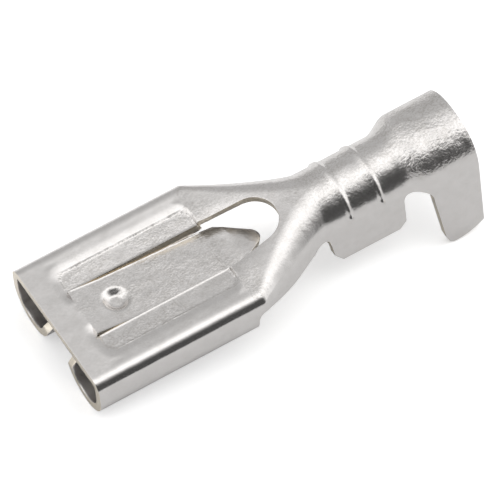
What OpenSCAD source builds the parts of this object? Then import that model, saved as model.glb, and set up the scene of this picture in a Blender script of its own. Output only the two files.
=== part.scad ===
// Female spade terminal for a 6.3 mm blade, stamped and folded from one sheet.
// The solid is drawn with the outer face of its floor in z = 0, X running from the
// mouth to the wire end and the ears and wings hanging below. rest() then lays it
// down on the fronts of its ears and the tips of its insulation wings.

/* [Sheet] */
// Thickness of the sheet
sheet = 0.4; // [0.35:0.01:0.45]

/* [Receptacle] */
// Width over the two ears
width = 7.7; // [7.2:0.1:8.2]
// Length of the ears
ear_l = 8.1; // [7.9:0.05:8.3]
// Height over the curled ears
ear_h = 2.77; // [2.6:0.01:3]
// Outer radius of the curl of an ear
ear_r = 1.5; // [1.35:0.05:1.6]
// Outer radius of the fold between floor and ear
fold_r = 0.55; // [0.5:0.05:0.7]
// Room for the blade between the rails and the tips of the ears
slot_gap = 0.75; // [0.6:0.01:0.9]
// Bevel along the front edge of the floor
lip = 0.1; // [0.05:0.01:0.2]
// Lead-in cut on the front corner of each ear tip
ear_lead = 0.35; // [0.1:0.05:0.6]

/* [Rails] */
// Distance from the centre line to the outer edge of a rail
rail_y = 2.91; // [2.7:0.01:3]
// Start of the rails behind the front edge
rail_x = 1.1; // [0.8:0.05:1.3]
// End of the rails, where the sheet is sheared
rail_end = 8.07; // [7.6:0.01:8.2]
// Depth that the rails are pressed in
rail_depth = 0.18; // [0.1:0.01:0.25]
// Radius of the rear corner of a rail
rail_turn = 0.3; // [0.1:0.05:0.5]
// Width of the slope along the side of a rail
rail_slope = 0.66; // [0.4:0.01:0.8]

/* [Tongue] */
// Half width of the tongue
tongue_y = 1.31; // [1.1:0.01:1.4]
// Width of the slit on each side of the tongue
slit = 0.09; // [0.06:0.01:0.2]
// Place of the crease at the root of the tongue
tongue_x = 1.4; // [1.3:0.05:1.6]
// Length of the tongue from its root to its tip
tongue_l = 9; // [8.4:0.1:9.2]
// Slope of the tongue next to its root, in degrees
root_slope = 9.5; // [5:0.5:11]
// Slope of the long middle of the tongue, in degrees
mid_slope = 4.6; // [3:0.1:6]
// Slope of the bent tip, in degrees
tip_slope = 15; // [10:1:25]
// Radius of the rounded tip
tongue_r = 0.65; // [0.4:0.05:1]
// Distance of the dimple from the front edge
dimple_x = 3.1; // [2.6:0.05:4]
// Diameter of the dimple at its rim
dimple_d = 1.35; // [1:0.05:1.6]
// Diameter of the flat bottom of the dimple
dimple_flat = 0.65; // [0.4:0.05:0.8]
// Depth of the dimple
dimple_depth = 0.32; // [0.2:0.01:0.4]

/* [Window and neck] */
// Half width of the window where it meets the slits
window_y = 1.45; // [1.42:0.01:1.5]
// Radius of the round end of the window
window_r = 1.25; // [1:0.05:1.3]
// Distance of the centre of that round end from the front edge
window_x = 10.1; // [9.6:0.05:10.4]
// Start of the neck behind the front edge
neck_x = 8.5; // [8.4:0.05:8.8]
// Depth of the side flange of the neck where it leaves the ears
flange_front = 0.85; // [0.7:0.05:1.2]
// Depth of the side flange at its deepest
flange_mid = 1.45; // [1.3:0.05:1.6]
// Place of the deepest point of the side flange
flange_x = 10.7; // [10:0.05:11.2]
// Depth of the rear edge of an ear, below which the ear ends square
ear_step = 1.25; // [1:0.05:1.5]
// Power of the narrowing of the neck towards the wire barrel
taper = 1.15; // [1:0.05:1.6]
// Power of the rounding of the neck towards the wire barrel
rounding = 1.9; // [1:0.1:2.5]
// Extra lean of the flanks halfway along the neck, in degrees
flank_lean = 4; // [0:0.5:10]
// Radius of the relief notch in front of the wire wings
relief_r = 0.62; // [0.5:0.02:0.7]
// Depth of the top of the relief notch below the floor
relief_top = 1.15; // [0.9:0.05:1.3]
// Lean of the front edge of a wire wing, in degrees
relief_lean = 8; // [2:0.5:12]

/* [Wire barrel] */
// Start of the wire barrel behind the front edge
wire_x = 13.02; // [12.8:0.02:13.3]
// Length of the wire barrel
wire_l = 3.85; // [3.4:0.05:4.2]
// Outer radius of the wire barrel
wire_r = 1.8; // [1.6:0.05:1.9]
// Height of the crown of the wire barrel above the floor
wire_rise = 0.46; // [0.2:0.01:0.6]
// Depth of the wire wings below the floor
wire_depth = 3.12; // [2.7:0.05:3.4]
// Corner cut on the front of a wire wing
wire_cut_front = 0.5; // [0.2:0.05:0.7]
// Corner cut on the back of a wire wing
wire_cut_back = 0.36; // [0.2:0.02:0.6]
// Distance from the start of the barrel to the first serration
bead_x = 1.13; // [0.6:0.05:1.3]
// Distance between the two serrations
bead_pitch = 1.63; // [1.2:0.05:1.9]
// Half angle that a serration covers, in degrees from the crown
bead_turn = 72; // [50:1:80]
// Radius of the rounded serration
bead_r = 0.14; // [0.1:0.01:0.2]
// Height that a serration stands proud outside
bead_high = 0.06; // [0.03:0.01:0.1]

/* [Insulation barrel] */
// Total length from the front edge to the wire end
length = 20.55; // [20:0.05:21.5]
// Start of the insulation barrel behind the front edge
grip_x = 18.15; // [17.8:0.05:18.3]
// Outer radius of the insulation barrel
grip_r = 2.25; // [2:0.05:2.4]
// Height of its crown above the floor
grip_rise = 0.86; // [0.5:0.05:1]
// Depth of the insulation wings below the floor
grip_depth = 5.24; // [4.6:0.02:5.6]
// Radius of the front corner of an insulation wing
tip_r = 0.4; // [0.3:0.05:0.6]
// Radius of the arc along the end of that wing
tip_arc = 2.6; // [2:0.1:3.5]
// Place of its deepest point behind the front edge
tip_x = 19.03; // [18.9:0.01:19.3]
// Lean of the front edge of an insulation wing, in degrees
wing_lean = 8; // [4:0.1:12]
// Splay of all wings from upright, in degrees
splay = 5; // [2:0.5:8]
// Depth of the top of the notch between the wings
gap_top = 0.96; // [0.7:0.02:1.1]
// Radius of the front corner of that notch
gap_r_front = 0.5; // [0.3:0.02:0.5]
// Radius of the back corner of that notch
gap_r_back = 0.8; // [0.6:0.02:0.9]

/* [Hidden] */
$fn = 64;
// Reach of a cutting shape past the sheet
far = 8;
// Overlap with which two pieces of the one sheet are joined
weld = 0.12;
// A lofted stretch is thinner than its neighbours by this much on each face
seam = 0.004;
// Height of the centre of the ear curl, of each barrel and of the wing ends
curl_z = ear_r - ear_h;
wire_z = wire_rise - wire_r;
grip_z = grip_rise - grip_r;
tip_z = tip_r - grip_depth;
// Height of the tips of the ears, and the turn that brings them there
ear_tip_z = -(sheet + rail_depth + slot_gap);
ear_turn = asin((ear_tip_z - curl_z) / ear_r);
// Angle at which the part lies: the fronts of the ears and the wing ends touch down
tip_reach = norm([tip_x, tip_z + ear_h]);
rest_tilt = atan2(-(tip_z + ear_h), tip_x) + asin(tip_r / tip_reach);
// Depth of the back corner of an insulation wing, and the middle of the part as it lies
tip_corner = grip_depth - tip_arc + sqrt(tip_arc * tip_arc - pow(length - tip_x, 2));
rest_mid = (length * cos(rest_tilt) + (tip_corner + lip) * sin(rest_tilt)) / 2;
// Stations and steps of the lofted stretches
neck_steps = 18;
flare_steps = 10;
flat_steps = 3;
arc_steps = 12;
wall_steps = 5;

function mix(a, b, u) = a + (b - a) * u;
function ease(u) = u * u * (3 - 2 * u);
function steps(n) = [for (i = [1:n]) i / n];

// Extrudes a (y, z) section along X
module along_x(from, to)
    translate([from, 0, 0]) rotate([90, 0, 90]) linear_extrude(to - from) children();

// Extrudes an (x, z) outline across Y, as far to one side as to the other
module across_y(half)
    translate([0, half, 0]) rotate([90, 0, 0]) linear_extrude(2 * half) children();

module both_sides() {
    children();
    mirror([0, 1, 0]) children();
}

// Sheet bent round radius r, between two angles
module bend(r, from, to)
    intersection() {
        difference() {
            circle(r);
            circle(r - sheet);
        }
        polygon(concat([[0, 0]], [for (i = [0:8]) let (a = mix(from, to, i / 8)) 2 * r * [cos(a), sin(a)]]));
    }

// Half of the section of floor, fold and curled ear
module ear_half() {
    translate([-weld, -sheet]) square([width / 2 - fold_r + weld, sheet]);
    translate([width / 2 - fold_r, -fold_r]) bend(fold_r, 0, 90);
    translate([width / 2 - sheet, curl_z]) square([sheet, -fold_r - curl_z]);
    translate([width / 2 - ear_r, curl_z]) bend(ear_r, -180 - ear_turn, 0);
}

module ear_section() {
    ear_half();
    mirror([1, 0]) ear_half();
}

// Floor, folds and both ears, with the sides running on a little to meet the neck
module receptacle() {
    difference() {
        along_x(0, ear_l) ear_section();
        across_y(width) polygon([[lip, 1], [lip, 0], [0, -lip], [-1, -lip], [-1, 1]]);
        across_y(width / 2 - ear_r) polygon([
            [-1, ear_tip_z - ear_lead - 1], [0, ear_tip_z - ear_lead], [ear_lead, ear_tip_z],
            [ear_lead, -2 * sheet], [-1, -2 * sheet]
        ]);
    }
    intersection() {
        along_x(ear_l - weld, neck_x) ear_section();
        across_y(far) polygon([
            [ear_l - 1, 1], [ear_l - 1, -ear_step], [ear_l, -ear_step],
            [ear_l + 0.15, -mix(ear_step, flange_front, 0.6)], [neck_x, -flange_front], [neck_x, 1]
        ]);
    }
}

// One pressed rail as a tool, with its upper rim at height top
module press(top) {
    rim = 0.02;
    inner = tongue_y - slit;
    corner = rail_slope + 0.05;
    front_slope = rail_slope / 2;
    hull() {
        for (low = [0, 1]) {
            r = corner - low * front_slope;
            x0 = rail_x + low * front_slope;
            y1 = rail_y - low * rail_slope;
            z0 = top - low * rail_depth;
            translate([x0 + r, y1 - r, z0]) cylinder(r = r, h = rim, $fn = 32);
            translate([x0, inner - (1 - low) * rail_slope / 2, z0]) cube([rim, rim, rim]);
            translate([rail_end - rim, inner - (1 - low) * rail_slope / 2, z0]) cube([rim, rim, rim]);
            translate([rail_end - rail_turn, y1 - rail_turn, z0]) cylinder(r = rail_turn, h = rim, $fn = 32);
        }
    }
}

// Section of a U barrel of outer radius r with splayed wings, its centre at height z
module u_section(r, z, depth) {
    wing = depth + z + r;
    translate([0, z]) {
        bend(r, splay, 180 - splay);
        for (side = [0, 1])
            mirror([side, 0]) rotate(splay) translate([r - sheet, -wing]) square([sheet, wing + 0.01]);
    }
}

module wire_barrel()
    intersection() {
        along_x(wire_x - weld / 2, wire_x + wire_l + weld / 2) u_section(wire_r, wire_z, wire_depth);
        across_y(far) polygon([
            [wire_x - 1, far], [wire_x - 1, -wire_depth + wire_cut_front],
            [wire_x, -wire_depth + wire_cut_front], [wire_x + wire_cut_front, -wire_depth],
            [wire_x + wire_l - wire_cut_back, -wire_depth],
            [wire_x + wire_l, -wire_depth + wire_cut_back],
            [wire_x + wire_l + 1, -wire_depth + wire_cut_back], [wire_x + wire_l + 1, far]
        ]);
    }

module grip_barrel()
    intersection() {
        along_x(grip_x - weld / 2, length) u_section(grip_r, grip_z, grip_depth);
        across_y(far) union() {
            translate([tip_x - far, tip_z]) square([far, 2 * far]);
            translate([tip_x, tip_z]) circle(tip_r);
            translate([tip_x - 0.01, tip_arc - grip_depth]) square([far, far]);
            intersection() {
                translate([tip_x, tip_arc - grip_depth]) circle(tip_arc);
                translate([tip_x - 0.01, -far]) square([far, far]);
            }
        }
    }

// Rounded serration that runs over the crown of the wire barrel at radius r
module serration(r)
    translate([wire_x + bead_x, 0, wire_z])
        for (i = [0, 1])
            translate([i * bead_pitch, 0, 0]) rotate([0, 90, 0])
                rotate([0, 0, 180 - bead_turn]) rotate_extrude(angle = 2 * bead_turn)
                    translate([r, 0]) circle(bead_r, $fn = 24);

// Round ends of the serrations
module serration_ends()
    for (i = [0, 1], side = [-1, 1])
        translate([wire_x + bead_x + i * bead_pitch, 0, wire_z]) rotate([side * bead_turn, 0, 0])
            translate([0, 0, wire_r + bead_high - bead_r]) sphere(bead_r * 1.15, $fn = 24);

// Points of half a section from the centre line outwards, each as [y, z, normal y, normal z]:
// a flat top, an arc of radius r and a wall down to the given depth, leaning out by lean
// and drawn in again by curl where it passes the height of the ear curl
function half_section(w, r, rise, lean, depth, curl) =
    let (
        arc_y = w - r,
        arc_z = rise - r,
        end_y = arc_y + r * cos(lean),
        end_z = arc_z + r * sin(lean)
    )
    concat(
        [for (u = steps(flat_steps)) [arc_y * u, rise, 0, 1]],
        [for (u = steps(arc_steps)) let (a = mix(90, lean, u)) [arc_y + r * cos(a), arc_z + r * sin(a), cos(a), sin(a)]],
        [for (u = steps(wall_steps)) let (
            z = mix(end_z, -depth, u),
            below = max(0, curl_z - z),
            drop = sqrt(ear_r * ear_r - below * below),
            y = end_y + (end_z - z) * tan(lean) - curl * (ear_r - drop),
            slope = tan(lean) - curl * below / drop,
            n = norm([1, slope])
        ) [y, z, 1 / n, slope / n]]
    );

// Closed ring of a section: the outer line from one edge to the other, then the inner line back
function ring(x, half) =
    let (
        n = len(half),
        line = concat([for (i = [n - 1:-1:0]) [-half[i][0], half[i][1], -half[i][2], half[i][3]]],
            [[0, half[0][1], 0, 1]], half),
        count = len(line)
    )
    concat(
        [for (p = line) [x, p[0] - seam * p[2], p[1] - seam * p[3]]],
        [for (i = [count - 1:-1:0]) let (p = line[i], d = sheet - seam) [x, p[0] - d * p[2], p[1] - d * p[3]]]
    );

// Solid through a row of rings, all with the same number of points
module loft(rings) {
    n = len(rings[0]);
    last = len(rings) - 1;
    half = n / 2;
    polyhedron(
        points = [for (r = rings) each r],
        faces = concat(
            [for (s = [0:last - 1], i = [0:n - 1]) let (a = s * n + i, b = s * n + (i + 1) % n)
                each [[a, b, b + n], [a, b + n, a + n]]],
            [for (i = [0:half - 2]) each [[i, n - 1 - i, n - 2 - i], [i, n - 2 - i, i + 1]]],
            [for (i = [0:half - 2]) let (e = last * n)
                each [[e + i, e + n - 2 - i, e + n - 1 - i], [e + i, e + i + 1, e + n - 2 - i]]]
        ),
        convexity = 8
    );
}

// Depth of the lower edge of the neck at x
relief_x = wire_x - relief_r;
relief_z = relief_top + relief_r;
function flange(x) =
    x < neck_x ? flange_front
    : x < flange_x ? mix(flange_front, flange_mid, sin(90 * (x - neck_x) / (flange_x - neck_x)))
    : x < relief_x - relief_r / 2 ? mix(flange_mid, relief_top + relief_r * 0.15,
        pow((x - flange_x) / (relief_x - relief_r / 2 - flange_x), 1.5))
    : relief_z + 0.1;

// Neck: the flat receptacle section turns into the round one of the wire barrel
module neck() {
    rows = concat([neck_x - weld], [for (i = [0:neck_steps]) mix(neck_x, wire_x, i / neck_steps)],
        [wire_x + weld]);
    loft([for (x = rows) let (
        u = max(0, min(1, (x - neck_x) / (wire_x - neck_x))),
        narrow = pow(1 - u, taper),
        lean = splay * u + flank_lean * sin(180 * u)
    ) ring(x, half_section(mix(wire_r, width / 2, narrow), mix(fold_r, wire_r, 1 - pow(1 - u, rounding)),
        wire_rise * sin(90 * u), lean, flange(x), pow(1 - u, 2)))]);
}

// Flare: the wire barrel widens into the insulation barrel
module flare() {
    from = wire_x + wire_l;
    rows = concat([from - weld], [for (i = [0:flare_steps]) mix(from, grip_x, i / flare_steps)],
        [grip_x + weld]);
    loft([for (x = rows) let (
        u = ease(max(0, min(1, (x - from) / (grip_x - from)))),
        r = mix(wire_r, grip_r, u)
    ) ring(x, half_section(r, r, mix(wire_rise, grip_rise, u), splay, gap_top + gap_r_back + 0.1, 0))]);
}

// Window with its round end, and the room that the slits leave round the tongue
module window_outline() {
    translate([tongue_x, -tongue_y - slit]) square([rail_end - tongue_x + weld, 2 * (tongue_y + slit)]);
    polygon([[rail_end, -window_y], [window_x, -window_r], [window_x, window_r], [rail_end, window_y]]);
    translate([window_x, 0]) circle(window_r);
}

// Notch in front of the wire wings
module relief_outline() {
    translate([relief_x, -relief_z]) circle(relief_r);
    polygon([
        [relief_x - relief_r, -far], [relief_x - relief_r, -relief_z], [wire_x, -relief_z],
        [wire_x + (far - relief_z) * tan(relief_lean), -far]
    ]);
}

// Notch between the wire wings and the insulation wings
module gap_outline() {
    left = wire_x + wire_l;
    mid = left + gap_r_front;
    front_z = -gap_top - gap_r_front;
    back_z = -gap_top - gap_r_back;
    back_x = grip_x - gap_r_back;
    translate([mid, front_z]) circle(gap_r_front);
    intersection() {
        translate([back_x, back_z]) circle(gap_r_back);
        translate([mid, back_z - gap_r_back]) square([far, far]);
    }
    polygon([
        [left, -far], [left, front_z], [mid, front_z], [mid, back_z],
        [grip_x, back_z], [grip_x + (far + back_z) * tan(wing_lean), -far]
    ]);
}

// Upper line of the tongue as [x, z], from inside the floor to the tip
mid_x = 3;
crease_x = tongue_x + tongue_l - 1.5;
mid_z = -(mid_x - tongue_x) * tan(root_slope);
crease_z = mid_z - (crease_x - mid_x) * tan(mid_slope);
tongue_end_x = tongue_x + tongue_l;
tongue_end_z = crease_z - (tongue_end_x - crease_x) * tan(tip_slope);
tongue_line = [
    [tongue_x - weld, 0], [tongue_x, 0], [mid_x, mid_z], [crease_x, crease_z],
    [tongue_end_x, tongue_end_z]
];

module tongue() {
    count = len(tongue_line);
    tip_c = tongue_end_x - tongue_r;
    shoulder = [crease_x - tip_c - 0.15, tongue_y];
    turn = atan2(shoulder[1], shoulder[0]) - acos(tongue_r / norm(shoulder));
    side = tongue_r * [cos(turn), sin(turn)];
    difference() {
        union() {
            intersection() {
                across_y(tongue_y) polygon(concat(tongue_line,
                    [for (i = [count - 1:-1:0]) tongue_line[i] - [0, sheet]]));
                translate([0, 0, -far]) linear_extrude(2 * far) {
                    translate([tip_c, 0]) polygon([
                        [-tip_c, -tongue_y], [shoulder[0], -tongue_y], [side[0], -side[1]],
                        side, shoulder, [-tip_c, tongue_y]
                    ]);
                    translate([tip_c, 0]) circle(tongue_r);
                }
            }
            dimple_cone(-sheet + 0.05, 0.05);
        }
        dimple_cone(0.05, 0);
    }
}

// Cone of the dimple on the slope of the tongue, with its top raised or lowered
module dimple_cone(top, grow) {
    slope = (root_slope + mid_slope) / 2;
    z = mid_z - (dimple_x - mid_x) * tan(mid_slope);
    widen = (dimple_d - dimple_flat) / 2 / dimple_depth * 0.05;
    translate([dimple_x, 0, z]) rotate([0, slope, 0]) translate([0, 0, top - dimple_depth - 0.05])
        cylinder(h = dimple_depth + 0.05, r1 = dimple_flat / 2 + grow, r2 = dimple_d / 2 + widen + grow);
}

// Lays the terminal down and puts the middle of its underside in the origin
module rest()
    translate([-rest_mid, 0, ear_h * cos(rest_tilt)]) rotate([0, -rest_tilt, 0]) children();

module terminal()
    color([0.77, 0.76, 0.75]) rest() {
        difference() {
            union() {
                difference() {
                    receptacle();
                    both_sides() press(0);
                }
                both_sides() press(-sheet);
                neck();
                wire_barrel();
                flare();
                grip_barrel();
                serration(wire_r + bead_high - bead_r);
                serration_ends();
            }
            translate([0, 0, -2]) linear_extrude(4) window_outline();
            across_y(far) relief_outline();
            across_y(far) gap_outline();
            serration(wire_r - sheet);
        }
        tongue();
    }

terminal();
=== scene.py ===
import math

import bmesh
import bpy
from mathutils import Matrix, Vector


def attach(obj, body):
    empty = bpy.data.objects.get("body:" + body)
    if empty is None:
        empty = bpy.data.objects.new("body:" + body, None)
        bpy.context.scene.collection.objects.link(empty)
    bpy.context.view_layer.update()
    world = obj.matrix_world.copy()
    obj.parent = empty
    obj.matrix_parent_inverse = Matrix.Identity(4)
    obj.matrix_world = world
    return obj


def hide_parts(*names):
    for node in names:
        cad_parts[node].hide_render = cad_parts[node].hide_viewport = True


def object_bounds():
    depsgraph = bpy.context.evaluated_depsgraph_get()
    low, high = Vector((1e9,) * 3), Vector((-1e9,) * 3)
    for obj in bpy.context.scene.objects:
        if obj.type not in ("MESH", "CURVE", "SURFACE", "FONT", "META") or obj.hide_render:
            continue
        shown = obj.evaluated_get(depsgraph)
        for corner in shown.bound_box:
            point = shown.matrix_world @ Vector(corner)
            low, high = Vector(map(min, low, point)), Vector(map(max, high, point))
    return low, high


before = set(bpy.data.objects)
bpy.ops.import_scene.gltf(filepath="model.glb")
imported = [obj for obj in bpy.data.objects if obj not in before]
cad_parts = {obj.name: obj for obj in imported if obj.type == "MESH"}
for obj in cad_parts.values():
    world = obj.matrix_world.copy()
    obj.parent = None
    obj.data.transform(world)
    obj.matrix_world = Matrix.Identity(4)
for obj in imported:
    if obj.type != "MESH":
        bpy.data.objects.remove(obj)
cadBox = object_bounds()
print("frame loaded")

# what the terminal is folded to, in millimetres and degrees, along X from the mouth
sheetSizes = {
    "thickness": 0.4,
    "length": 20.55,
    "splay": 5.0,
    "edgeBreak": 0.04,
}
earSizes = {
    "front": 0.013,
    "halfWidth": 3.85,
    "foldRadius": 0.6,
    "curlRadius": 1.5,
    "height": 2.77,
    "length": 8.1,
    "tipDepth": 1.33,
    "leadIn": 0.35,
    "leadInSlope": 4.65,
    "rearCurve": ((0.0, 1.25), (0.1, 1.04), (0.25, 0.9)),  # place behind the ear and depth below the floor
}
railSizes = {
    "start": 1.4,
    "end": 8.07,
    "outerEdge": 2.42,
    "cornerRadius": 0.5,
    "slope": 0.55,
    "frontSlope": 0.45,
    "endSlope": 0.1,
    "step": 0.03,
    "depth": 0.18,
    "shallowShare": 0.7,  # share of the depth that is left at the outer edge
    "burr": 0.022,
    "burrWidth": 0.045,
    "furrow": 2.7,
    "furrowWidth": 0.5,
    "furrowDepth": 0.012,
}
tongueSizes = {
    "root": 1.4,
    "halfWidth": 1.31,
    "slit": 0.06,
    "tip": 10.4,
    "tipRadius": 0.54,
    "shoulder": 8.75,
    "bends": ((1.4, 9.5), (3.0, 4.6), (8.15, 10.0), (8.85, 6.0), (9.15, 19.0)),  # place and slope after it
    "bendWidth": 0.05,
}
dimpleSizes = {"place": 3.1, "rim": 0.675, "flat": 0.3, "depth": 0.25}
windowSizes = {
    "start": 8.07,
    "halfWidth": 1.45,
    "endRadius": 1.22,
    "endCentre": 10.08,
    "roll": 0.055,
    "rollReach": 0.75,
}
neckSizes = {
    "start": 8.5,
    "end": 13.02,
    "flangeStart": 0.85,
    "flangeDeep": 1.45,
    "flangePlace": 10.7,
    "reliefRadius": 0.62,
    "reliefTop": 1.15,
    "reliefLean": 8.0,
    "taper": 1.15,
    "rounding": 1.9,
    "lean": 0.07,
}
wireSizes = {
    "end": 16.87,
    "radius": 1.8,
    "rise": 0.46,
    "depth": 3.12,
    "frontCut": 0.5,
    "backCut": 0.36,
    "serrations": (14.15, 15.78),
    "serrationTurn": 72.0,
    "serrationHigh": 0.085,
    "serrationWidth": 0.14,
    "dotHigh": 0.08,
    "dotWidth": 0.13,
}
gripSizes = {
    "start": 18.15,
    "radius": 2.25,
    "shoulder": 0.1,
    "rise": 0.86,
    "depth": 5.24,
    "gapTop": 0.96,
    "gapFront": 0.5,
    "gapBack": 0.8,
    "lean": 8.0,
    "cornerRadius": 0.4,
    "endArc": 2.6,
    "deepest": 19.03,
}


def mix(low, high, share):
    return low + (high - low) * share


def ease(share):
    share = min(max(share, 0.0), 1.0)
    return share * share * (3 - 2 * share)


def arcPoints(centre, radius, fromTurn, toTurn, count):
    turns = [math.radians(mix(fromTurn, toTurn, i / count)) for i in range(count + 1)]
    return [(centre[0] + radius * math.cos(t), centre[1] + radius * math.sin(t)) for t in turns]


# the section at a place along X: half width, corner radius, crown height, lean and wall bottom
def sectionSizes(x):
    curlHeight = earSizes["curlRadius"] - earSizes["height"]
    if x <= neckSizes["start"]:
        return earSizes["halfWidth"], earSizes["foldRadius"], 0.0, 0.0, curlHeight
    splay = math.radians(sheetSizes["splay"])
    if x <= neckSizes["end"]:
        share = (x - neckSizes["start"]) / (neckSizes["end"] - neckSizes["start"])
        narrow = (1 - share) ** neckSizes["taper"]
        return (
            mix(wireSizes["radius"], earSizes["halfWidth"], narrow),
            mix(earSizes["foldRadius"], wireSizes["radius"], 1 - (1 - share) ** neckSizes["rounding"]),
            wireSizes["rise"] * math.sin(math.pi / 2 * share),
            splay * share + neckSizes["lean"] * math.sin(math.pi * share),
            mix(curlHeight, -wireSizes["depth"], share),
        )
    share = ease((x - wireSizes["end"]) / (gripSizes["start"] - wireSizes["end"]))
    radius = mix(wireSizes["radius"], gripSizes["radius"], share)
    return (
        radius,
        radius,
        mix(wireSizes["rise"], gripSizes["rise"], share),
        splay,
        mix(-wireSizes["depth"], -gripSizes["depth"], share),
    )


# a point of the outer face and its normal; across runs 0 to 2 over floor and fold,
# to 3 down the wall and to 4 round the curl of the ear
def sectionPoint(x, across):
    halfWidth, radius, rise, lean, bottom = sectionSizes(x)
    flat = halfWidth - radius
    if across <= 2:
        along = across / 2 * (flat + radius * (math.pi / 2 - lean))
        if along <= flat:
            return along, rise, 0.0, 1.0
        turn = math.pi / 2 - (along - flat) / radius
        return flat + radius * math.cos(turn), rise - radius + radius * math.sin(turn), math.cos(turn), math.sin(turn)
    if across <= 3:
        topY = flat + radius * math.cos(lean)
        topZ = rise - radius + radius * math.sin(lean)
        z = mix(topZ, bottom, across - 2)
        return topY + (topZ - z) * math.tan(lean), z, math.cos(lean), math.sin(lean)
    curlY = earSizes["halfWidth"] - earSizes["curlRadius"]
    endTurn = math.pi + math.asin((-earSizes["tipDepth"] - bottom) / earSizes["curlRadius"])
    turn = -(across - 3) * endTurn
    return (
        curlY + earSizes["curlRadius"] * math.cos(turn),
        bottom + earSizes["curlRadius"] * math.sin(turn),
        math.cos(turn),
        math.sin(turn),
    )


# where across the sheet the outer face reaches a given y or depth
def acrossAt(x, y=None, depth=None):
    low, high = 0.0, 2.0 if depth is None else 3.0
    for _ in range(40):
        middle = (low + high) / 2
        pointY, pointZ = sectionPoint(x, middle)[:2]
        short = pointY < y if depth is None else -pointZ < depth
        low, high = (middle, high) if short else (low, middle)
    return (low + high) / 2


def flangeDepth(x):
    deepest, start = neckSizes["flangePlace"], neckSizes["start"]
    if x < deepest:
        rise = math.sin(math.pi / 2 * (x - start) / (deepest - start))
        return mix(neckSizes["flangeStart"], neckSizes["flangeDeep"], rise)
    last = neckSizes["end"] - 1.5 * neckSizes["reliefRadius"]
    share = min(1.0, (x - deepest) / (last - deepest))
    return mix(neckSizes["flangeDeep"], neckSizes["reliefTop"] + 0.15 * neckSizes["reliefRadius"], share**1.5)


def tongueHalfWidth(x):
    centre = tongueSizes["tip"] - tongueSizes["tipRadius"]
    shoulder = (tongueSizes["shoulder"] - centre, tongueSizes["halfWidth"])
    turn = math.atan2(shoulder[1], shoulder[0]) - math.acos(tongueSizes["tipRadius"] / math.hypot(*shoulder))
    touch = (tongueSizes["tipRadius"] * math.cos(turn), tongueSizes["tipRadius"] * math.sin(turn))
    if x <= tongueSizes["shoulder"]:
        return tongueSizes["halfWidth"]
    if x - centre < touch[0]:
        return mix(shoulder[1], touch[1], (x - centre - shoulder[0]) / (touch[0] - shoulder[0]))
    return math.sqrt(max(0.0, tongueSizes["tipRadius"] ** 2 - (x - centre) ** 2))


# the outline of half the sheet before it is folded, as places along and across it
def halfOutline():
    lead = earSizes["leadIn"]
    front = earSizes["front"]
    outline = [(front, 0.0), (front, 2.0), (front, 3.0), (front, 4 - lead / earSizes["leadInSlope"])]
    outline += [(lead, 4.0), (earSizes["length"], 4.0)]

    def wall(points):
        outline.extend((x, acrossAt(x, depth=depth)) for x, depth in points)

    start, end = neckSizes["start"], neckSizes["end"]
    wall([(earSizes["length"] + behind, depth) for behind, depth in earSizes["rearCurve"]])
    radius, top = neckSizes["reliefRadius"], neckSizes["reliefTop"]
    centre = (end - radius, top + radius)
    last = centre[0] - radius * 0.8
    wall([(mix(start, last, i / 34), flangeDepth(mix(start, last, i / 34))) for i in range(35)])
    notch = arcPoints(centre, radius, 180, 360, 26)
    wall([p for p in notch if p[0] > last + 0.03 and p[1] < flangeDepth(p[0]) + 0.3])
    lean = math.tan(math.radians(neckSizes["reliefLean"]))
    deep, cut = wireSizes["depth"], wireSizes["frontCut"]
    wall([(end + (depth - centre[1]) * lean, depth) for depth in (2.0, 2.3, deep - cut)])
    wall([(end + cut, deep), (wireSizes["end"] - wireSizes["backCut"], deep)])
    frontDepth = gripSizes["gapTop"] + gripSizes["gapFront"]
    wall([(wireSizes["end"], depth) for depth in (deep - wireSizes["backCut"], 2.1, frontDepth + 0.01)])
    frontCentre = (wireSizes["end"] + gripSizes["gapFront"], frontDepth)
    backDepth = gripSizes["gapTop"] + gripSizes["gapBack"]
    backCentre = (gripSizes["start"] - gripSizes["gapBack"], backDepth)
    wall(arcPoints(frontCentre, gripSizes["gapFront"], 180, 268, 12))
    wall(arcPoints(backCentre, gripSizes["gapBack"], 274, 360, 16))
    lean = math.tan(math.radians(gripSizes["lean"]))
    depth = gripSizes["depth"] - sheetSizes["thickness"] * math.sin(math.radians(sheetSizes["splay"]))
    corner = (gripSizes["deepest"], depth - gripSizes["cornerRadius"])
    edge = [(gripSizes["start"] + (low - backDepth) * lean, low) for low in (2.2, 3.0, 4.0, 4.6)]
    wall(edge + arcPoints(corner, gripSizes["cornerRadius"], 172, 90, 8))
    arcCentre = (gripSizes["deepest"], depth - gripSizes["endArc"])
    endTurn = math.degrees(math.acos((sheetSizes["length"] - arcCentre[0]) / gripSizes["endArc"]))
    wall(arcPoints(arcCentre, gripSizes["endArc"], 88, endTurn, 14))
    outline.append((sheetSizes["length"], 2.0))
    outline.append((sheetSizes["length"], 0.0))

    radius, middle = windowSizes["endRadius"], windowSizes["endCentre"]
    start, side = windowSizes["start"], windowSizes["halfWidth"]
    window = arcPoints((middle, 0.0), radius, 0, 90, 24)[1:]
    window += [(mix(middle, start, i / 8), mix(radius, side, i / 8)) for i in range(1, 9)]
    root, slitEdge = tongueSizes["root"], tongueSizes["halfWidth"] + tongueSizes["slit"]
    window += [(start, slitEdge), (root, slitEdge), (root, tongueSizes["halfWidth"])]
    outline.append((middle + radius, 0.0))
    outline.extend((x, acrossAt(x, y=y)) for x, y in window)
    shoulder, tip = tongueSizes["shoulder"], tongueSizes["tip"]
    stations = [mix(shoulder, tip, 1 - (1 - i / 24) ** 2) for i in range(24)]
    flatScale = 2 / (earSizes["halfWidth"] - earSizes["foldRadius"] * (1 - math.pi / 2))
    outline.extend((x, tongueHalfWidth(x) * flatScale) for x in stations)
    outline.append((tip, 0.0))
    return outline


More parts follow.
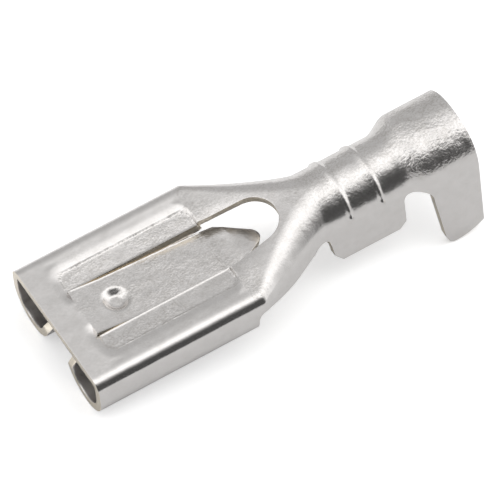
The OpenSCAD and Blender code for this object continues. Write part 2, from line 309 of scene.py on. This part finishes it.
def softRamp(distance, width):
    if distance <= -width:
        return 0.0
    return distance if distance >= width else (distance + width) ** 2 / (4 * width)


def tongueDrop(x):
    drop, before = 0.0, 0.0
    for place, slope in tongueSizes["bends"]:
        slope = math.tan(math.radians(slope))
        drop += (slope - before) * softRamp(x - place, tongueSizes["bendWidth"])
        before = slope
    return drop


def dimpleDrop(x, y):
    reach = math.hypot(x - dimpleSizes["place"], y)
    share = (dimpleSizes["rim"] - reach) / (dimpleSizes["rim"] - dimpleSizes["flat"])
    return dimpleSizes["depth"] * mix(ease(share), min(max(share, 0.0), 1.0), 0.5)


# how far a place lies outside the rounded foot of a rail, and how wide its slope is there
def railReach(x, y):
    radius = railSizes["cornerRadius"]
    front = railSizes["start"] + radius - x
    behind = x - railSizes["end"] + radius
    aside = max(0.0, y - railSizes["outerEdge"] + radius)
    ahead = max(0.0, front, behind)
    reach = math.hypot(aside, ahead)
    alongSlope = railSizes["frontSlope"] if front > behind else railSizes["endSlope"]
    return reach - radius, mix(railSizes["slope"], alongSlope, ahead / max(reach, 0.001))


# a rail lies lowest along its slit, and its foot has a small step
def railDrop(x, y):
    outside, width = railReach(x, y)
    shallow = railSizes["shallowShare"]
    lowest = shallow + (1 - shallow) * min(1.0, max(0.0, railSizes["outerEdge"] - y))
    deep, fade = railSizes["depth"] * lowest, ease((y - 0.6) / 0.7)
    if outside <= -0.05:
        return deep * fade
    share = min(1.0, max(0.0, 1 - outside / width))
    return (deep - railSizes["step"]) * share**1.4 * fade + railSizes["step"] * ease(outside / -0.05)


# pressing the rails leaves a shallow furrow beside them
def furrowDrop(x, y):
    share = min(1.0, max(0.0, (y - railSizes["furrow"]) / railSizes["furrowWidth"]))
    fade = ease((x - 0.8) / 0.8) * ease((railSizes["end"] + 0.3 - x) / 0.6)
    return railSizes["furrowDepth"] * math.sin(math.pi * share) ** 2 * fade


# shearing leaves a low burr along both sides of a slit
def burrRise(x, y):
    start, end = tongueSizes["root"], railSizes["end"]
    if not start - 0.1 < x < end:
        return 0.0
    beside = y - tongueSizes["halfWidth"] - tongueSizes["slit"]
    beside = beside if beside > -0.02 else (tongueSizes["halfWidth"] - y) * 1.3
    return railSizes["burr"] * math.exp(-((beside / railSizes["burrWidth"]) ** 2)) * ease((x - start) / 0.2)


# the rim of the window is rolled over on the outer face
def rollDrop(x, y):
    centre, start = windowSizes["endCentre"], windowSizes["start"]
    if x > centre:
        beside = math.hypot(x - centre, y) - windowSizes["endRadius"]
    elif x > start:
        beside = y - mix(windowSizes["halfWidth"], windowSizes["endRadius"], (x - start) / (centre - start))
    else:
        beside = 1.0
    fade = mix(0.3, 1.0, ease((centre + 0.6 - x) / 1.5))
    return windowSizes["roll"] * fade * max(0.0, 1 - beside / windowSizes["rollReach"]) ** 2


def serrationRise(x, turn):
    fade = ease((wireSizes["serrationTurn"] + 2 - turn) / 5)
    reach = math.radians(turn - wireSizes["serrationTurn"]) * wireSizes["radius"]
    rise = 0.0
    for place in wireSizes["serrations"]:
        rise += wireSizes["serrationHigh"] * fade * math.exp(-(((x - place) / wireSizes["serrationWidth"]) ** 2))
        rise += wireSizes["dotHigh"] * math.exp(-(((x - place) ** 2 + reach**2) / wireSizes["dotWidth"] ** 2))
    return rise


# a place on the flat sheet goes to its folded and pressed place
def foldedPoint(x, across):
    y, z, outY, outZ = sectionPoint(x, across)
    onTongue = y < tongueHalfWidth(x) + 0.03 and tongueSizes["root"] < x < tongueSizes["tip"] + 0.03
    if across <= 2 and onTongue:
        z += burrRise(x, y) - tongueDrop(x) - dimpleDrop(x, y)
    elif across <= 2:
        z += burrRise(x, y) - railDrop(x, y) - furrowDrop(x, y) - rollDrop(x, y)
    turn = math.atan2(outY, outZ)
    rise = 0.0
    if neckSizes["end"] < x < wireSizes["end"]:
        rise = serrationRise(x, math.degrees(turn))
    elif x > wireSizes["end"] and turn < math.pi / 2:
        full = ease((x - wireSizes["end"]) / (gripSizes["start"] - wireSizes["end"]))
        rise = gripSizes["shoulder"] * full * math.sin(2 * turn) ** 2
    y, z = y + rise * outY, z + rise * outZ
    return Vector((x, y, z))


# how much of the mottled grain a place has, from bare walls to pressed and bent faces; along the foot of each rail it
# also paints a thin dark line of shade into the tin's colour
grainShares = {
    "bare": 0.08,
    "floor": 0.14,
    "rails": 0.86,
    "tongueRoot": 0.3,
    "tongue": 0.55,
    # painted shade: a thin dark line along the concave foot of each rail
    "railFootShade": 1.3,
    "neckFront": 0.75,
    "neckRear": 0.3,
    "wireBarrel": 0.8,
    "gripBarrel": 2.3,
}


def grainAndFootShade(x, across):
    y, z, outY, outZ = sectionPoint(x, across)
    crown = ease((outZ - 0.62) / 0.3)
    if x < railSizes["end"]:
        inside = tongueSizes["halfWidth"] + 0.05
        strip = ease((railSizes["outerEdge"] + 0.05 - y) / 0.15) * ease((x - 1.3) / 0.3)
        tongue = ease((inside - y) / 0.05) * ease((x - 2.6) / 1.8)
        plain = ease((x - 1.0) / 0.6) * ease((inside - y) / 0.05)
        # a thin dark line of painted shade along the foot of each rail, laid into the grain share
        footShade = math.exp(-(((railReach(x, y)[0] + 0.03) / 0.04) ** 2)) if y > inside else 0.0
        pressed = grainShares["rails"] * max(strip - plain, 0.0)
        sprung = grainShares["tongueRoot"] * plain + grainShares["tongue"] * tongue
        grain = crown * (grainShares["floor"] + pressed + sprung)
        return grainShares["bare"] + grain + grainShares["railFootShade"] * footShade
    neck = mix(grainShares["neckFront"], grainShares["neckRear"], ease((x - railSizes["end"]) / 2.5))
    bent = mix(grainShares["wireBarrel"], grainShares["gripBarrel"], ease((x - 16.6) / 1.4))
    barrel = ease((outZ - 0.4) / 0.35) * bent
    return grainShares["bare"] + mix(neck * crown, barrel, ease((x - 11.2) / 2))


# where the flat sheet is cut into faces: from, to and step, finer where it is pressed or bent
cutSteps = {
    "front": (
        (0.1, 0.9, 0.2),
        (0.9, 1.3, 0.06),
        (1.3, 1.5, 0.025),
        (1.5, 2.35, 0.08),
        (2.35, 3.85, 0.06),
        (3.85, 7.5, 0.18),
        (7.5, 8.0, 0.05),
    ),
    "railEnd": (8.02, 8.045, 8.066, 8.074),
    "behind": (
        (8.1, 8.2, 0.025),
        (8.2, 9.2, 0.08),
        (9.2, 13.02, 0.11),
        (13.02, 13.9, 0.12),
        (13.9, 14.4, 0.036),
        (14.4, 15.53, 0.12),
        (15.53, 16.03, 0.036),
        (16.03, 18.2, 0.12),
        (18.2, 20.5, 0.2),
    ),
    "floor": ((0.03, 0.42, 0.03), (0.42, 0.58, 0.035), (0.58, 0.76, 0.015)),
    "foldStep": 0.03,
    "wall": ((2.0, 3.0, 0.1), (3.0, 4.0, 0.05)),
}


def fineSteps(*stretches):
    places = []
    for start, end, step in stretches:
        count = max(1, round((end - start) / step))
        places += [mix(start, end, i / count) for i in range(count)]
    return places


def cutLines():
    along = fineSteps(*cutSteps["front"]) + list(cutSteps["railEnd"]) + fineSteps(*cutSteps["behind"])
    foldStart = acrossAt(1.0, y=earSizes["halfWidth"] - earSizes["foldRadius"])
    fold = ((0.76, foldStart, 0.035), (foldStart, 2.0, cutSteps["foldStep"]))
    across = fineSteps(*cutSteps["floor"], *fold, *cutSteps["wall"])
    return along, across


def makeSheet():
    mesh = bmesh.new()
    mesh.faces.new([mesh.verts.new((x, across, 0.0)) for x, across in halfOutline()])
    along, across = cutLines()
    for direction, places in (((0, 1, 0), across), ((1, 0, 0), along)):
        for place in places:
            bmesh.ops.bisect_plane(
                mesh,
                geom=mesh.verts[:] + mesh.edges[:] + mesh.faces[:],
                dist=1e-5,
                plane_co=Vector(direction) * place,
                plane_no=direction,
            )
    # this attribute holds the mottled grain and the painted shade line along the rail feet
    grain = mesh.verts.layers.float.new("grain")
    for vert in mesh.verts:
        vert[grain] = grainAndFootShade(vert.co.x, vert.co.y)
        vert.co = foldedPoint(vert.co.x, vert.co.y)
    bmesh.ops.mirror(mesh, geom=mesh.verts[:] + mesh.edges[:] + mesh.faces[:], merge_dist=1e-5, axis="Y")
    bmesh.ops.remove_doubles(mesh, verts=mesh.verts[:], dist=1e-5)
    bmesh.ops.recalc_face_normals(mesh, faces=mesh.faces[:])
    mesh.faces.ensure_lookup_table()
    crown = max(mesh.faces, key=lambda face: face.calc_center_median().z)
    if crown.normal.z < 0:
        bmesh.ops.reverse_faces(mesh, faces=mesh.faces[:])
    print("sheet cut and folded,", len(mesh.faces), "faces")
    return mesh


# the part lies on the fronts of its ears and the tips of its insulation wings
def restPlace():
    tipX, tipZ = gripSizes["deepest"], gripSizes["cornerRadius"] - gripSizes["depth"]
    height, arc = earSizes["height"], gripSizes["endArc"]
    tilt = math.atan2(-(tipZ + height), tipX) + math.asin(gripSizes["cornerRadius"] / math.hypot(tipX, tipZ + height))
    cornerDepth = gripSizes["depth"] - arc + math.sqrt(arc**2 - (sheetSizes["length"] - tipX) ** 2)
    middle = (sheetSizes["length"] * math.cos(tilt) + (cornerDepth + 0.1) * math.sin(tilt)) / 2
    return (
        Matrix.Scale(0.001, 4)
        @ Matrix.Translation((-middle, 0, height * math.cos(tilt)))
        @ Matrix.Rotation(-tilt, 4, "Y")
    )


# shader maths as plain expressions: one wrapped socket and one node-making method
class Wire:
    def __init__(self, tree, socket):
        self.tree, self.socket = tree, socket

    def blend(self, operation, first, second):
        return makeNode(self.tree, "ShaderNodeMath", {"operation": operation}, {0: first, 1: second})

    def __add__(self, other):
        return self.blend("ADD", self, other)

    def __sub__(self, other):
        return self.blend("SUBTRACT", self, other)

    def __rsub__(self, other):
        return self.blend("SUBTRACT", other, self)

    def __mul__(self, other):
        return self.blend("MULTIPLY", self, other)

    __radd__ = __add__
    __rmul__ = __mul__


def makeNode(tree, kind, settings=None, sockets=None, output=0):
    made = tree.nodes.new(kind)
    for name, value in (settings or {}).items():
        if name == "stops":
            ramp = made.color_ramp
            while len(ramp.elements) < len(value):
                ramp.elements.new(0.5)
            for element, (place, shade) in zip(ramp.elements, value):
                element.position, element.color = place, (shade, shade, shade, 1)
        else:
            setattr(made, name, value)
    for name, value in (sockets or {}).items():
        if isinstance(value, Wire):
            tree.links.new(value.socket, made.inputs[name])
        else:
            made.inputs[name].default_value = value
    return Wire(tree, made.outputs[output])


def startMaterial(name):
    material = bpy.data.materials.new(name)
    material.use_nodes = True
    tree = material.node_tree
    shader = next(node for node in tree.nodes if node.type == "BSDF_PRINCIPLED")
    return material, tree, shader


# the tin: colours, and the heights (in metres) and sizes (per millimetre) of its patterns
tinFinish = {
    "light": (0.80, 0.778, 0.764, 1),
    "dull": (0.60, 0.575, 0.55, 1),
    "roughness": 0.2,
    "innerRoughness": 0.3,
    "grain": 0.000015,
    "grainScale": 10.0,
    "pebble": 0.000014,
    "pebbleScale": 4.5,
    "dent": 0.00002,
    "dentScale": 1.0,
    "scratch": 0.000006,
    "scratchScale": 16.0,
    "speck": 0.62,
    "stainScale": 2.2,
    "patchScale": 0.8,
    "patchStops": ((0.33, 0.3), (0.66, 1.0)),
    "stainStops": ((0.38, 0.0), (0.7, 1.0)),
    "speckStops": ((0.44, 0.0), (0.6, 1.0)),
}


def noise(tree, place, scale, detail=2.0, rough=0.5):
    return makeNode(
        tree, "ShaderNodeTexNoise", None, {"Vector": place, "Scale": scale, "Detail": detail, "Roughness": rough}
    )


# places on the piece in millimetres
def millimetres(tree):
    place = makeNode(tree, "ShaderNodeTexCoord", None, None, "Object")
    return makeNode(tree, "ShaderNodeMapping", None, {"Vector": place, "Scale": (1000, 1000, 1000)})


def ramp(tree, stops, share):
    return makeNode(tree, "ShaderNodeValToRGB", {"stops": stops}, {"Fac": share})


def feed(tree, shader, name, value):
    tree.links.new(value.socket, shader.inputs[name])


def bumpFrom(tree, height):
    return makeNode(tree, "ShaderNodeBump", None, {"Strength": 1.0, "Distance": 1.0, "Height": height})


def tinMaterial(name, roughness):
    material, tree, shader = startMaterial(name)
    place = millimetres(tree)
    # the grain attribute also holds painted shade: a dark line along the foot of each rail
    grainAndShadeShare = makeNode(tree, "ShaderNodeAttribute", {"attribute_name": "grain"}, None, "Fac")
    grain = noise(tree, place, tinFinish["grainScale"], 2.0, 0.6)
    pebble = noise(tree, place, tinFinish["pebbleScale"], 1.0, 0.5)
    patch = noise(tree, place, tinFinish["patchScale"], 2.0, 0.5)
    patch = ramp(tree, tinFinish["patchStops"], patch) * grainAndShadeShare
    dent = noise(tree, place, tinFinish["dentScale"], 1.0, 0.4)
    across = makeNode(tree, "ShaderNodeMapping", None, {"Vector": place, "Scale": (1, 0.1, 0.3)})
    scratch = noise(tree, across, tinFinish["scratchScale"], 2.0, 0.6)
    uneven = grain * tinFinish["grain"] + pebble * tinFinish["pebble"] + scratch * tinFinish["scratch"]
    height = uneven * patch + dent * tinFinish["dent"]
    feed(tree, shader, "Normal", bumpFrom(tree, height))
    stain = ramp(tree, tinFinish["stainStops"], noise(tree, place, tinFinish["stainScale"], 5.0, 0.65))
    speck = ramp(tree, tinFinish["speckStops"], grain)
    # mottled patches darken the colour; along the rail feet this darkening is painted shade
    wornAndFootShade = patch.blend("MINIMUM", patch, 0.7)
    share = stain * 0.25 + stain * wornAndFootShade * 0.4 + speck * wornAndFootShade * tinFinish["speck"]
    colour = makeNode(
        tree, "ShaderNodeMix", {"data_type": "RGBA"}, {0: share, 6: tinFinish["light"], 7: tinFinish["dull"]}, 2
    )
    feed(tree, shader, "Base Color", colour)
    feed(tree, shader, "Roughness", patch * 0.04 + pebble * 0.06 + (roughness - 0.04))
    shader.inputs["Metallic"].default_value = 1.0
    return material


# cut edges show bare brass with tin smeared over it
edgeFinish = {
    "bare": (0.84, 0.75, 0.60, 1),
    "smeared": (0.78, 0.74, 0.68, 1),
    "smearScale": 2.6,
    "roughness": 0.34,
    "tear": 0.000006,
    "tearScale": 14.0,
}


def edgeMaterial():
    material, tree, shader = startMaterial("shearedEdge")
    place = millimetres(tree)
    smear = noise(tree, place, edgeFinish["smearScale"], 3.0, 0.6)
    colour = makeNode(
        tree, "ShaderNodeMix", {"data_type": "RGBA"}, {0: smear, 6: edgeFinish["bare"], 7: edgeFinish["smeared"]}, 2
    )
    feed(tree, shader, "Base Color", colour)
    tear = noise(tree, place, edgeFinish["tearScale"], 2.0, 0.6)
    feed(tree, shader, "Normal", bumpFrom(tree, tear * edgeFinish["tear"]))
    feed(tree, shader, "Roughness", smear * 0.16 + (edgeFinish["roughness"] - 0.08))
    shader.inputs["Metallic"].default_value = 1.0
    return material


def makeTerminal():
    folded = makeSheet()
    bmesh.ops.transform(folded, matrix=restPlace(), verts=folded.verts[:])
    for face in folded.faces:
        face.smooth = True
    mesh = bpy.data.meshes.new("spadeSheet")
    folded.to_mesh(mesh)
    folded.free()
    mesh.materials.append(tinMaterial("brightTin", tinFinish["roughness"]))
    mesh.materials.append(edgeMaterial())
    mesh.materials.append(tinMaterial("dullTin", tinFinish["innerRoughness"]))
    terminal = bpy.data.objects.new("spadeSheet", mesh)
    bpy.context.scene.collection.objects.link(terminal)
    wall = terminal.modifiers.new("wall", "SOLIDIFY")
    wall.thickness, wall.offset = sheetSizes["thickness"] / 1000, -1
    wall.material_offset_rim, wall.material_offset = 1, 2
    broken = terminal.modifiers.new("brokenEdges", "BEVEL")
    broken.width, broken.segments = sheetSizes["edgeBreak"] / 1000, 2
    broken.limit_method, broken.angle_limit = "ANGLE", math.radians(50)
    terminal.modifiers.new("evenShading", "WEIGHTED_NORMAL")
    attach(terminal, "root")
    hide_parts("terminal")
    print("terminal made")
    return terminal


# the paper floor, the lamp, and what the tin mirrors; the paper's colour is painted darker on the near side and
# lighter on the far side, a painted falloff of light
studio = {
    "floorRadius": 1.4,
    # painted shade on the near paper and painted light on the far paper
    "nearFloorShade": 0.72,
    "farFloorLight": 0.95,
    "floorGlow": 0.8,
    "lamp": 1.0,
    "bright": 1.5,
    "axis": (-0.15, -1.0, 0.0),
    "tones": (  # brightness of the room from the far side, 0, to the near side, 1
        (0.1, 0.35),
        (0.18, 0.39),
        (0.245, 0.48),
        (0.38, 0.8),
        (0.48, 0.95),
        (0.635, 0.9),
        (0.755, 0.23),
        (0.84, 0.05),
    ),
    "floorGrade": (0, 60, 0),
    "glowOver": 1.4,
    "lampSize": 0.6,
    "lampAzimuth": 20,
    "lampElevation": 75,
    "lampDistance": 0.8,
}


# the direction from the part out to an azimuth and elevation
def outward(turn, rise):
    return Vector((math.sin(turn) * math.cos(rise), -math.cos(turn) * math.cos(rise), math.sin(rise)))


def addLamp(name, power, size, azimuth, elevation, distance):
    lamp = bpy.data.lights.new(name, "AREA")
    lamp.shape, lamp.size, lamp.energy = "DISK", size, power
    holder = bpy.data.objects.new(name, lamp)
    bpy.context.scene.collection.objects.link(holder)
    back = outward(math.radians(azimuth), math.radians(elevation))
    holder.location = back * distance
    holder.rotation_euler = back.to_track_quat("Z", "Y").to_euler()
    return holder


def dot(tree, first, second):
    return makeNode(tree, "ShaderNodeVectorMath", {"operation": "DOT_PRODUCT"}, {0: first, 1: second}, "Value")


def raysOf(tree, kind):
    return makeNode(tree, "ShaderNodeLightPath", None, None, kind)


def layFloor():
    plate = bmesh.new()
    bmesh.ops.create_circle(plate, cap_ends=True, segments=64, radius=studio["floorRadius"])
    mesh = bpy.data.meshes.new("tableTop")
    plate.to_mesh(mesh)
    plate.free()
    floor = bpy.data.objects.new("tableTop", mesh)
    bpy.context.scene.collection.objects.link(floor)
    floor.location.z = cadBox[0].z - 0.00002
    material, tree, shader = startMaterial("whitePaper")
    shader.inputs["Roughness"].default_value = 0.9
    shader.inputs["Specular IOR Level"].default_value = 0.0
    shader.inputs["Emission Strength"].default_value = studio["floorGlow"]
    place = makeNode(tree, "ShaderNodeTexCoord", None, None, "Object")
    across = dot(tree, place, studio["floorGrade"])
    # painted light: the paper's colour grades from darker near the camera to lighter behind the part, for the tin to
    # mirror
    paintedPaperFalloff = ramp(tree, ((0.2, studio["nearFloorShade"]), (1.0, studio["farFloorLight"])), across + 0.5)
    feed(tree, shader, "Base Color", paintedPaperFalloff)
    glow = raysOf(tree, "Is Camera Ray") * (studio["glowOver"] - paintedPaperFalloff)
    feed(tree, shader, "Emission Color", glow)
    mesh.materials.append(material)
    print("floor laid")


def lightWorld():
    world = bpy.data.worlds.new("studio")
    bpy.context.scene.world = world
    world.use_nodes = True
    tree = world.node_tree
    tree.nodes.clear()
    direction = makeNode(tree, "ShaderNodeTexCoord", None, None, "Generated")
    facing = dot(tree, direction, Vector(studio["axis"]).normalized())
    room = ramp(tree, studio["tones"], facing * 0.5 + 0.5) * studio["bright"]
    seen = raysOf(tree, "Is Camera Ray") + raysOf(tree, "Is Transmission Ray")
    strength = room * (1 - seen) + seen
    light = makeNode(tree, "ShaderNodeBackground", None, {"Color": (1, 1, 1, 1), "Strength": strength})
    output = tree.nodes.new("ShaderNodeOutputWorld")
    tree.links.new(light.socket, output.inputs["Surface"])
    turn, rise = studio["lampAzimuth"], studio["lampElevation"]
    lamp = addLamp("overheadSoftbox", studio["lamp"], studio["lampSize"], turn, rise, studio["lampDistance"])
    lamp.visible_glossy = False
    print("room lit")


# where the camera stands, in degrees and millimetres, and how far it is moved aside
viewpoint = {
    "azimuth": -35.272,
    "elevation": 51.343,
    "roll": 5.323,
    "distance": 221.8,
    "lens": 356.01,
    "aside": (-0.273, 1.165),
}


def makeCamera():
    turn, rise, roll = (math.radians(viewpoint[name]) for name in ("azimuth", "elevation", "roll"))
    right = Vector((math.cos(turn), math.sin(turn), 0))
    up = Vector((-math.sin(rise) * math.sin(turn), math.sin(rise) * math.cos(turn), math.cos(rise)))
    back = outward(turn, rise)
    side = right * math.cos(roll) + up * math.sin(roll)
    top = up * math.cos(roll) - right * math.sin(roll)
    place = back * viewpoint["distance"] + side * viewpoint["aside"][0] + top * viewpoint["aside"][1]
    lens = bpy.data.cameras.new("studioCamera")
    lens.sensor_width, lens.lens, lens.clip_start = 36, viewpoint["lens"], 0.01
    camera = bpy.data.objects.new("studioCamera", lens)
    bpy.context.scene.collection.objects.link(camera)
    turned = Matrix((side, top, back)).transposed().to_4x4()
    camera.matrix_world = Matrix.Translation(place / 1000) @ turned
    bpy.context.scene.camera = camera
    print("camera placed")


makeCamera()
makeTerminal()
layFloor()
lightWorld()
bpy.context.scene.view_settings.view_transform = "Standard"
